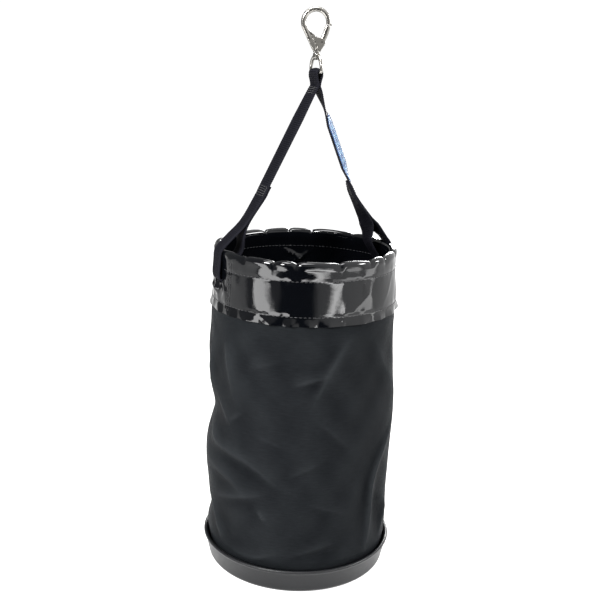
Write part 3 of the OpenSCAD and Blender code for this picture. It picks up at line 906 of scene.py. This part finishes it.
def bag_stitches(wall, collar, collar_heights, lining, lining_heights):
    """The thread rows of the collar, of the tube's seam and of the bottom."""
    thread, pitch, length = 0.42 * MM, 5.5 * MM, 4.4 * MM
    gap = [(LEFT_AZ, 8), (RIGHT_AZ, 8)]
    top = ring_row(collar, collar_heights, HEM_Z, pitch, length, gap)
    top += ring_row(lining, lining_heights, HEM_Z - 1.5 * MM, pitch, length, gap, inward=True)
    sewn("stitch_collar_top", top, thread, "collar_top_stitch")
    low = ring_row(collar, collar_heights, LOW_HEM_Z, pitch, length)
    sewn("stitch_collar_bottom", low, thread, "collar_bottom_stitch")
    seam = rows_up(collar, collar_heights, (SEAM_AZ - 4.4, SEAM_AZ - 2.4), COLLAR_Z + 5 * MM, HOOP_Z - 6 * MM,
                   5 * MM, 4 * MM)
    sewn("stitch_collar_seam", seam, thread, "collar_seam_stitch")
    wall_z = np.linspace(WALL_FOOT, WALL_TOP, len(wall))
    inner = wall - grid_normals(wall) * CANVAS
    back = 188
    low, high = CUP_H + 8 * MM, COLLAR_Z - 10 * MM
    up = rows_up(inner, wall_z, (back - 2, back + 2), low, high, 6 * MM, 5 * MM, inward=True)
    sewn("stitch_wall_seam", up, thread, "wall_seam_stitch")
    foot_z = BOTTOM_TOP - 2.5 * MM
    foot = np.linspace(foot_z - 3 * MM, foot_z + 3 * MM, 4)
    az, _ = columns(180, BOTTOM_R)
    hem_r = BOTTOM_R + 0.8 * MM + (foot[:, None] - 11 * MM) * HEM_LEAN - 1.4 * CANVAS
    hem = around(az[None, :], hem_r, np.repeat(foot[:, None], len(az), 1))
    sewn("stitch_bottom", ring_row(hem, foot, foot_z, 6 * MM, 5 * MM, inward=True), thread, "bottom_stitch")


# ---------------------------------------------------------------- webbing sling

RIB = 2.6 * MM                 # spacing of the webbing's cross ribs
SPLICE = (64 * MM, COLLAR_TOP + 63 * MM)      # the sewn splice, from the bag's axis and from the floor
EYE_Z = RING_BAR[2] - 15 * MM  # where the straight legs end, under the ring
TAIL = 16 * MM                 # how far the webbing's end is sewn back
THREAD_LIFT = STRAP_T / 2 + 0.1 * MM          # a leg's stitches, off the middle of the webbing
FORK = (83 * MM, COLLAR_TOP + 33 * MM)        # where the webbing's two runs part above the rim


def leg_top(side):
    """How far from the bag's axis a straight leg ends under the ring."""
    return side * EYE_X + STRAP_T / 2


def leg_line(side):
    """A leg's top, its direction down and its outward normal, in the sling's plane on that side."""
    top = np.array([leg_top(side), EYE_Z])
    down = unit(np.array(SPLICE) - top)
    return top, down, np.array([-down[1], down[0]])


def half_route(side):
    """The webbing from its sewn-back end down inside the rim, out through the slot and up to the eye."""
    top, down, out = leg_line(side)
    foot = np.array(SPLICE)
    inner = foot - 0.97 * STRAP_T * out
    fork = np.array(FORK)
    inner_fork = fork - np.array([1.6 * MM, 1.2 * MM])
    off_vinyl = 2.1 * MM
    inside = HOOP_R - ROLL_R - off_vinyl
    outside = HOOP_R + ROLL_R + off_vinyl
    rim = [
        inner_fork, inner_fork + np.array([5.5 * MM, -16 * MM]), inner_fork + np.array([7.5 * MM, -33 * MM]),
        (inside - 3 * MM, SLOT_Z + 19 * MM),
        (inside + 4.2 * MM, SLOT_Z + 7 * MM), (inside + 7.2 * MM, SLOT_Z + 0.8 * MM),
        (outside - 3.2 * MM, SLOT_Z), (outside + 0.6 * MM, SLOT_Z + 3 * MM),
        (outside + 1.6 * MM, SLOT_Z + 10 * MM), (outside + 0.6 * MM, HOOP_Z - 10 * MM),
        (outside - 0.3 * MM, HOOP_Z + 1 * MM), (outside - 5 * MM, HOOP_Z + 8.5 * MM),
        fork + np.array([17 * MM, -17 * MM]), fork,
    ]
    return [inner - TAIL * down, inner - 8 * MM * down, inner, *rim, foot, foot - 12 * MM * down,
            (foot + top) / 2, top + 10 * MM * down, top]


def leg_turn(side, z):
    """How far the webbing is turned about its own line at height z, in radians."""
    if side > 0:
        stations = [(COLLAR_TOP + 6 * MM, 0), (COLLAR_TOP + 22 * MM, -20), (COLLAR_TOP + 36 * MM, -12),
                    (SPLICE[1] - 8 * MM, 4), (SPLICE[1] + 12 * MM, 16),
                    (SPLICE[1] + 36 * MM, 38), (EYE_Z - 46 * MM, 37), (EYE_Z - 30 * MM, 23),
                    (EYE_Z - 8 * MM, 4), (EYE_Z, 0)]
    else:
        stations = [(COLLAR_TOP + 40 * MM, 0), (SPLICE[1], 4), (EYE_Z - 40 * MM, 6), (EYE_Z, 0)]
    heights, angles = np.array(stations, float).T
    return np.radians(np.interp(z, heights, angles))


def in_sling(p, side=1, off=0.0):
    """The place in the frame of a point given in the sling's plane, on one side."""
    p = np.asarray(p)
    return side * p[..., :1] * ALONG + p[..., 1:2] * UP + off * ACROSS


def webbing_frame(line, side_of):
    """Width and outward directions along a line of the sling, with the legs' turn."""
    tangent = unit(np.gradient(line, axis=0))
    out = unit(np.cross(ACROSS, tangent))
    z = line[:, 2]
    angle = np.where(side_of > 0, leg_turn(1, z), leg_turn(-1, z))[:, None]
    face = side_of[:, None] * ALONG + 0.5 * UP
    sign = np.where(np.sum(out * face, axis=1, keepdims=True) < 0, -1, 1)
    width = ACROSS * np.cos(angle) + out * sign * np.sin(angle)
    turned = out * np.cos(angle) - ACROSS * np.sin(angle) * sign
    return unit(width), unit(turned)


def ribbon(name, line, width, out, half_w, half_t, material, rib=0.0, droop=0.0):
    """A flat band along a line: round edges, ribs every rib metres, and its edges bent in by droop."""
    droop = np.broadcast_to(droop, len(line))
    face = [(-1, 0), (-0.985, 0.6), (-0.93, 0.95), (-0.5, 1), (0, 1), (0.5, 1), (0.93, 0.95), (0.985, 0.6)]
    section = np.array(face + [(-x, -y) for x, y in face])
    length = travel(line)
    swell = np.ones(len(line))
    if rib:
        swell = 0.70 + 0.45 * np.abs(np.sin(math.pi * length / rib)) ** 0.8
    flat = np.abs(section[:, 1]) > 0.9
    thick = np.where(flat[None, :], swell[:, None], 1.0) * section[None, :, 1] * half_t
    thick = thick + droop[:, None] * section[None, :, 0] ** 2
    points = line[:, None] + section[None, :, :1] * half_w * width[:, None] + thick[..., None] * out[:, None]
    us = np.concatenate([section[:, 0] * half_w, [-half_w]])
    return grid_object(name, points, material, us, np.append(length, length[-1]), False, True, caps=True)


def strap_line():
    """The whole webbing: the left half, over the ring's bar, and the right half."""
    left = [in_sling(p, -1) for p in half_route(-1)]
    right = [in_sling(p, 1) for p in half_route(1)]
    eye_r = 3.4 * MM + STRAP_T / 2
    over = [in_sling(p) for p in arc((EYE_X, RING_BAR[2]), eye_r, 190, -10, 5)]
    return curve_through(left + over + right[::-1], RIB / 6)


def sling():
    """The one length of webbing, laid over the rim where the bag and the sling meet."""
    line = strap_line()
    x = line @ ALONG
    side_of = np.where(x > EYE_X, 1.0, -1.0)
    width, out = webbing_frame(line, side_of)
    droop = 1.6 * MM * smoothstep(RING_BAR[2] - 6 * MM, RING_BAR[2] + 2 * MM, line[:, 2])
    strap = ribbon("webbing_sling", line, width, out, STRAP_W / 2, STRAP_T / 2, WEBBING_LOOK, RIB, droop)
    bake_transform(strap)
    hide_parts("sling_strap", "rim_loop_left", "rim_loop_right")


def leg_place(side, down_by, across, lift):
    """A point on a leg: so far below the eye, so far across the webbing and so far off its middle."""
    top, down, out = leg_line(side)
    base = in_sling(top + down * down_by, side)
    away = in_sling(out, side)
    angle = leg_turn(side, base[2])
    width = ACROSS * math.cos(angle) + away * math.sin(angle)
    face = away * math.cos(angle) - ACROSS * math.sin(angle)
    return base + width * across + face * lift, width, face


def leg_stitch(side, down_by, across, lift, run_across=0.0, run_down=0.0, sign=1):
    """A stitch on a leg that starts at that place and runs across it or down it."""
    start, _, face = leg_place(side, down_by, across, lift)
    end, _, _ = leg_place(side, down_by + run_down, across + run_across, lift)
    return start, end, face * sign


def splice_stitches(side, name, node):
    """A sewn block: rows of thread on the outer face of the splice and on the inner end's face."""
    top, _, _ = leg_line(side)
    length = np.linalg.norm(np.array(SPLICE) - top)
    places = []
    for lift, sign in ((THREAD_LIFT, 1), (-1.5 * STRAP_T - 0.1 * MM, -1)):
        for k in range(5):
            for across in np.arange(-9, 9, 3.6) * MM:
                places.append(leg_stitch(side, length - (1.5 + 3 * k) * MM, across, lift, 3 * MM, sign=sign))
        for edge in (-9.6 * MM, 9.6 * MM):
            for k in range(4):
                at = length - (1.5 + 3 * k) * MM
                places.append(leg_stitch(side, at, edge, lift, run_down=-2.6 * MM, sign=sign))
    sewn(name, places, 0.4 * MM, node, "sling")


def eye_stitches():
    """The bar of thread rows that closes the eye under the ring."""
    places = []
    for side in (-1, 1):
        for k in range(4):
            for across in np.arange(-9.5, 9, 3.6) * MM:
                places.append(leg_stitch(side, (3 + 2.6 * k) * MM, across, THREAD_LIFT, 3 * MM))
    sewn("stitch_eye", places, 0.4 * MM, "eye_stitch", "sling")


def label():
    """A woven label sewn flat on the outer face of the right leg."""
    half_w, half_l, thick = 10.5 * MM, 44 * MM, 0.55 * MM
    top, _, _ = leg_line(1)
    middle = np.linalg.norm(np.array(SPLICE) - top) - TAIL - half_l - 2 * MM
    at = np.linspace(middle - half_l, middle + half_l, 120)
    rows = [leg_place(1, d, 0.0, STRAP_T / 2 + 0.35 * MM + 0.25 * MM * math.sin(d * 210)) for d in at]
    line, width, out = (np.array([r[i] for r in rows]) for i in range(3))
    piece = ribbon("woven_label", line, width, out, half_w, thick / 2, LABEL_LOOK)
    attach(piece, "sling")
    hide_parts("label")
    lift = STRAP_T / 2 + 0.75 * MM
    places = []
    for d in (middle - half_l + 2 * MM, middle + half_l - 2 * MM):
        for across in np.arange(-9.5, 9, 2.6) * MM:
            places.append(leg_stitch(1, d, across, lift, run_across=1.9 * MM))
    for edge in (-9.8 * MM, 9.8 * MM):
        for d in np.arange(middle - half_l + 2 * MM, middle + half_l - 4 * MM, 3 * MM):
            places.append(leg_stitch(1, d, edge, lift, run_down=2.2 * MM))
    sewn("stitch_label", places, 0.28 * MM, "label_stitch", "sling", LABEL_THREAD_LOOK)


# ---------------------------------------------------------------- swivel hook

NECK = np.array([*SWIVEL[:2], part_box("hook_body")[0].z])
HOOK_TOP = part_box("hook_body")[1].z + 2 * MM
BOW_R = 15 * MM
HOOK_WIRE = 2.5 * MM
BOW = NECK + np.array([-2 * MM, 0, HOOK_TOP - HOOK_WIRE - BOW_R - NECK[2]])
FOOT = NECK + np.array([-2.5 * MM, 0, 4 * MM])
NOSE_ANGLE = math.radians(-10)


# Plates of the cast body, in millimetres about the gate's pivot: the web in the fork, and on each side two
# raised cheeks with a groove between them
HOOK_PLATES = {
    "core": [(-11, -9), (-4, -8.5), (-5.5, -3), (-5.5, 5.4), (-11, 9.5), (-19, 15)],
    "cheek": [(-12.6, 7.6), (-9, 6.6), (-3, 5.2), (1.5, 4.2), (3.8, 2.2), (4.2, -1.5), (-2.2, -12.3),
              (-3.4, -10)],
    "web": [(-19.5, 15), (-13.8, 8.4), (-4.6, -10), (-3.6, -12.4), (-8.4, -12.4), (-13, -5.5), (-17.5, 4)],
}


def hook_face(y, slope=0.0):
    """The y of a face of the cast body: y millimetres at the pivot, and leaning by slope above it."""
    return lambda x, z: NECK[1] + y * MM + slope * (z - PIVOT[2])


def xz(centre, radius, angle):
    """A point at that radius and angle about a centre, in the XZ plane."""
    return centre + radius * np.array([math.cos(angle), 0, math.sin(angle)])


def hook():
    """The cast body: bow and back bar, the recessed plate, the two cheeks of the gate and the swivel boss."""
    gap = FOOT - BOW
    reach = math.hypot(gap[0], gap[2])
    bar_angle = math.atan2(BOW[2] - FOOT[2], BOW[0] - FOOT[0]) + math.asin(BOW_R / reach)
    crown = [xz(BOW, BOW_R, a) for a in np.linspace(NOSE_ANGLE, bar_angle + math.pi / 2, 60)]
    run = np.linspace(crown[-1], FOOT, 24)[1:]
    path = np.array(crown + list(run))
    share = np.linspace(0, 1, len(path))
    half_in = np.interp(share, [0, 0.08, 0.45, 0.75, 1], [2.8, 3.1, 3.2, 3.2, 3.3]) * MM
    half_out = np.interp(share, [0, 0.1, 0.45, 0.75, 1], [2.2, 2.6, 2.6, 2.7, 2.9]) * MM
    pieces = [bar("bow", path, (0, 1, 0), half_in, half_out, STEEL_LOOK)]
    for name, corners in HOOK_PLATES.items():
        outline = [(PIVOT[0] + x * MM, PIVOT[2] + z * MM) for x, z in corners]
        if name == "core":
            pieces.append(plate(name, outline, hook_face(-1.9), hook_face(1.9), STEEL_LOOK))
        else:
            for side in (-1, 1):
                inner, outer = hook_face(side * 1.9), hook_face(side * 3.1, side * -0.13)
                pieces.append(plate(name, outline, inner, outer, STEEL_LOOK))
    nose = xz(BOW, BOW_R, NOSE_ANGLE)
    spur = [(2.8, -1.6), (4.4, -1.2), (4.2, 0.2), (2.8, 1.8), (0, 1)]
    spur = [(nose[0] + x * MM, nose[2] + z * MM) for x, z in spur]
    pieces.append(plate("spur", spur, hook_face(-1.5), hook_face(1.5), STEEL_LOOK))
    boss = [(2.1, 0), (4.0, 0), (4.5, 0.6), (4.5, 4.4), (3.8, 6.2), (2.1, 6.4)]
    pieces.append(lathe("boss", [(r * MM, z * MM) for r, z in boss], STEEL_LOOK, 48, NECK))
    body = cast("hook_casting", pieces, STEEL_LOOK, 0.38 * MM, smooth=4)
    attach(body, "hook")
    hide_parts("hook_body")


def gate():
    """The sprung lever that closes the bow."""
    nose = xz(BOW, BOW_R, NOSE_ANGLE)
    tip = nose + np.array([0.3 * MM, 0, 0.8 * MM])
    bend = PIVOT + (tip - PIVOT) * 0.5 + np.array([0.6 * MM, 0, 0])
    path = curve_through([PIVOT, PIVOT + (bend - PIVOT) * 0.5, bend, tip], 0.5 * MM)
    path = path[:-3]          # stops short of the nose
    share = np.linspace(0, 1, len(path))
    half_in = np.interp(share, [0, 0.3, 0.9, 1], [3.4, 3.4, 3.3, 3.0]) * MM
    half_out = np.interp(share, [0, 0.9, 1], [1.5, 1.5, 1.2]) * MM
    lever = bar("lever", path, (0, 1, 0), half_in, half_out, STEEL_LOOK, sides=24)
    heel = [(0.9, -1.5), (2.7, -1.5), (3, -1.1), (3, 1.1), (2.7, 1.5), (0.9, 1.5)]
    heel = lathe("heel", [(r * MM, z * MM) for r, z in heel], STEEL_LOOK, 48)
    heel.data.transform(Matrix.Translation(Vector(PIVOT)) @ Matrix.Rotation(math.pi / 2, 4, "X"))
    piece = cast("gate_lever", [lever, heel], STEEL_LOOK, 0.3 * MM, smooth=3)
    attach(piece, "gate")
    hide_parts("gate")


def ring():
    """The ring in the eye, with a straight lower bar and a bored boss at its top for the swivel."""
    wire = 2 * MM
    half = STRAP_W / 2 + 0.5 * MM + wire
    corner, side = 3 * MM, 2 * MM
    low = RING_BAR[2]
    straight = list(np.linspace((-half + corner, low), (half - corner, low), 24))
    turn_r = arc((half - corner, low + corner), corner, -90, 0, 8)[1:]
    top = arc((0, low + corner + side), half, 0, 180, 48)
    turn_l = [(-x, z) for x, z in turn_r[::-1]]
    flat = np.array(straight + turn_r + top + turn_l[:-1])
    path = np.array([RING_BAR * (1, 1, 0) + x * ACROSS + z * UP for x, z in flat])
    girth = wire * (1.0 + 0.18 * smoothstep(low + 4 * MM, low + 14 * MM, path[:, 2]))
    loop = bar("loop", path, ALONG, girth, girth, STEEL_LOOK, closed=True)
    boss_top = NECK[2] - 0.3 * MM
    boss = [(2.1, -6), (4.1, -6), (4.5, -5.4), (4.5, -0.6), (4.1, 0), (2.1, 0)]
    boss = lathe("boss", [(r * MM, z * MM) for r, z in boss], STEEL_LOOK, 48, (NECK[0], NECK[1], boss_top))
    piece = cast("ring_casting", [loop, boss], STEEL_LOOK, 0.38 * MM, smooth=4)
    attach(piece, "ring")
    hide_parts("swivel_ring")


# ---------------------------------------------------------------- base

def cup():
    """The moulded cup: a rounded foot, a slightly flared wall and a bead along the lip."""
    foot_r = CUP_LIP_R - 7 * MM
    fillet, wall = 8 * MM, 3 * MM
    middle = (foot_r - fillet, fillet)
    outside = [(1 * MM, 0), (foot_r * 0.5, 0)] + arc(middle, fillet, -90, -8, 14)
    bead = (CUP_LIP_R - 2 * MM, CUP_H - 2 * MM)
    lip = [(CUP_LIP_R - 2.2 * MM, CUP_H - 6 * MM)] + arc(bead, 2 * MM, -60, 110, 12)
    inside = [(CUP_LIP_R - 4.6 * MM, CUP_H - 1 * MM), (CUP_LIP_R - 5 * MM, CUP_H - 5 * MM)]
    inside += arc(middle, fillet - wall, -8, -90, 10) + [(foot_r * 0.5, wall), (1 * MM, wall)]
    piece = lathe("cup_shell", outside + lip + inside, CUP_LOOK, 240)
    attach(piece, "bag")
    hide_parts("base_cup")


def dress_kept_nodes():
    """Finishes for the hidden and small CAD pieces that keep their own shape."""
    looks = {
        "base_adhesive": ADHESIVE_LOOK, "base_stiffener": BOARD_LOOK, "rim_hoop": HOOP_LOOK,
        "hoop_ferrule": HOOP_LOOK, "swivel_pin": STEEL_LOOK, "gate_pin": STEEL_LOOK, "gate_spring": HOOP_LOOK,
    }
    for name, look in looks.items():
        node = frame["nodes"][name]
        node.data.materials.clear()
        node.data.materials.append(look)


# ---------------------------------------------------------------- studio

def camera():
    """The camera in front of the bag. Returns its place."""
    data = bpy.data.cameras.new("camera")
    data.lens = 57
    data.sensor_width = 36
    obj = add_object("camera", data)
    down, roll = math.radians(14.65), math.radians(1.93)
    place = Matrix.Translation((-0.0046, -1.183, 0.661))
    obj.matrix_world = place @ Matrix.Rotation(math.pi / 2 - down, 4, "X") @ Matrix.Rotation(roll, 4, "Z")
    bpy.context.scene.camera = obj
    return np.array(obj.matrix_world.translation)


def area_light(name, at, target, size, power):
    """A soft rectangle of light that the camera doesn't see."""
    data = bpy.data.lights.new(name, "AREA")
    data.shape = "RECTANGLE"
    data.size, data.size_y = size
    data.energy = power
    obj = add_object(name, data)
    aim = Vector(target) - Vector(at)
    obj.matrix_world = Matrix.Translation(at) @ aim.to_track_quat("-Z", "Y").to_matrix().to_4x4()
    obj.visible_camera = False
    return obj


def mirrored_light(name, eye, az, height, distance, size, power, tilt):
    """A softbox placed where the upright collar, at that azimuth and height, mirrors it to the camera."""
    at = around(az, WALL_R, height)
    normal = around(az, 1.0, 0.0)
    sight = unit(at - eye)
    back = sight - 2 * (sight @ normal) * normal
    light = area_light(name, at + back * distance, at, size, power)
    light.matrix_world = light.matrix_world @ Matrix.Rotation(math.radians(tilt), 4, "Z")
    return light


def tent_light(nodes):
    """The room's light: white, brighter on the right, with a dark opening in front by the camera."""
    towards = nodes.add("TexCoord").outputs["Generated"]
    x, y, z = nodes.add("SeparateXYZ", {0: towards}).outputs
    azimuth = nodes.math("ARCTAN2", x, nodes.math("MULTIPLY", y, -1.0))
    off = nodes.math("ABSOLUTE", nodes.math("ADD", azimuth, math.radians(6)))
    beside = nodes.ramp(off, math.radians(17), math.radians(25))
    above = nodes.ramp(z, 0.10, 0.22)
    tent = nodes.span(nodes.math("MAXIMUM", beside, above), 0.02, 1.0)
    nearer = nodes.ramp(azimuth, math.radians(-15), math.radians(50), 0.42, 2.0)
    return nodes.math("MULTIPLY", tent, nearer)


def studio(eye):
    """The pale floor, the softboxes and the world."""
    size = 3.0                 # half the floor's width
    bm = bmesh.new()
    bmesh.ops.create_grid(bm, x_segments=8, y_segments=8, size=size)
    bmesh.ops.translate(bm, vec=(0, size - 0.75, 0), verts=bm.verts)
    mesh = bpy.data.meshes.new("floor")
    bm.to_mesh(mesh)
    bm.free()
    mesh.materials.append(floor_material())
    floor = add_object("floor", mesh)
    # Azimuth and height of the highlight, the softbox's distance, size and power, and its turn in degrees
    mirrored_light("softbox_left", eye, -20, 0.385, 0.9, (0.20, 0.85), 5.0, 68)
    mirrored_light("softbox_right", eye, 10, 0.385, 0.95, (0.06, 0.85), 1.9, -71)
    mirrored_light("softbox_side", eye, 32, 0.372, 0.95, (0.10, 1.1), 1.3, -80)
    # Place, target, size and power
    area_light("key_left", (-0.85, -1.15, 1.3), (0, 0, 0.25), (0.35, 0.35), 46)
    area_light("key_right", (1.45, -0.1, 0.95), (0, 0, 0.25), (0.35, 0.35), 19)
    area_light("fill_back", (0.4, 1.6, 0.9), (0, 0, 0.25), (0.5, 0.5), 30)
    area_light("softbox_top", (-0.2, -0.2, 1.8), (0, 0, 0.35), (0.7, 0.7), 23)
    world = bpy.data.worlds.new("studio")
    world.use_nodes = True
    bpy.context.scene.world = world
    nodes = Nodes(world.node_tree)
    shown = nodes.tree.nodes["Background"]
    shown.inputs["Color"].default_value = (1, 1, 1, 1)
    shown.inputs["Strength"].default_value = 1.05
    ray = nodes.add("LightPath").outputs
    strength = nodes.span(ray["Is Diffuse Ray"], 0.75, 0.15)
    lit = nodes.add("Background", {"Color": tent_light(nodes), "Strength": strength})
    mix = nodes.add("MixShader", {0: ray["Is Camera Ray"], 1: lit.outputs[0], 2: shown.outputs[0]})
    nodes.tree.links.new(mix.outputs[0], nodes.tree.nodes["World Output"].inputs[0])
    bpy.context.scene.view_settings.view_transform = "Standard"


# ---------------------------------------------------------------- the whole

EYE_POINT = camera()
studio(EYE_POINT)
WALL_POINTS = canvas_wall()
canvas_bottom()
COLLAR_FACE, COLLAR_LINING = vinyl_collar()
bag_stitches(WALL_POINTS, *COLLAR_FACE, *COLLAR_LINING)
sling()
splice_stitches(-1, "stitch_splice_left", "splice_stitch_left")
splice_stitches(1, "stitch_splice_right", "splice_stitch_right")
eye_stitches()
label()
hook()
gate()
ring()
cup()
dress_kept_nodes()
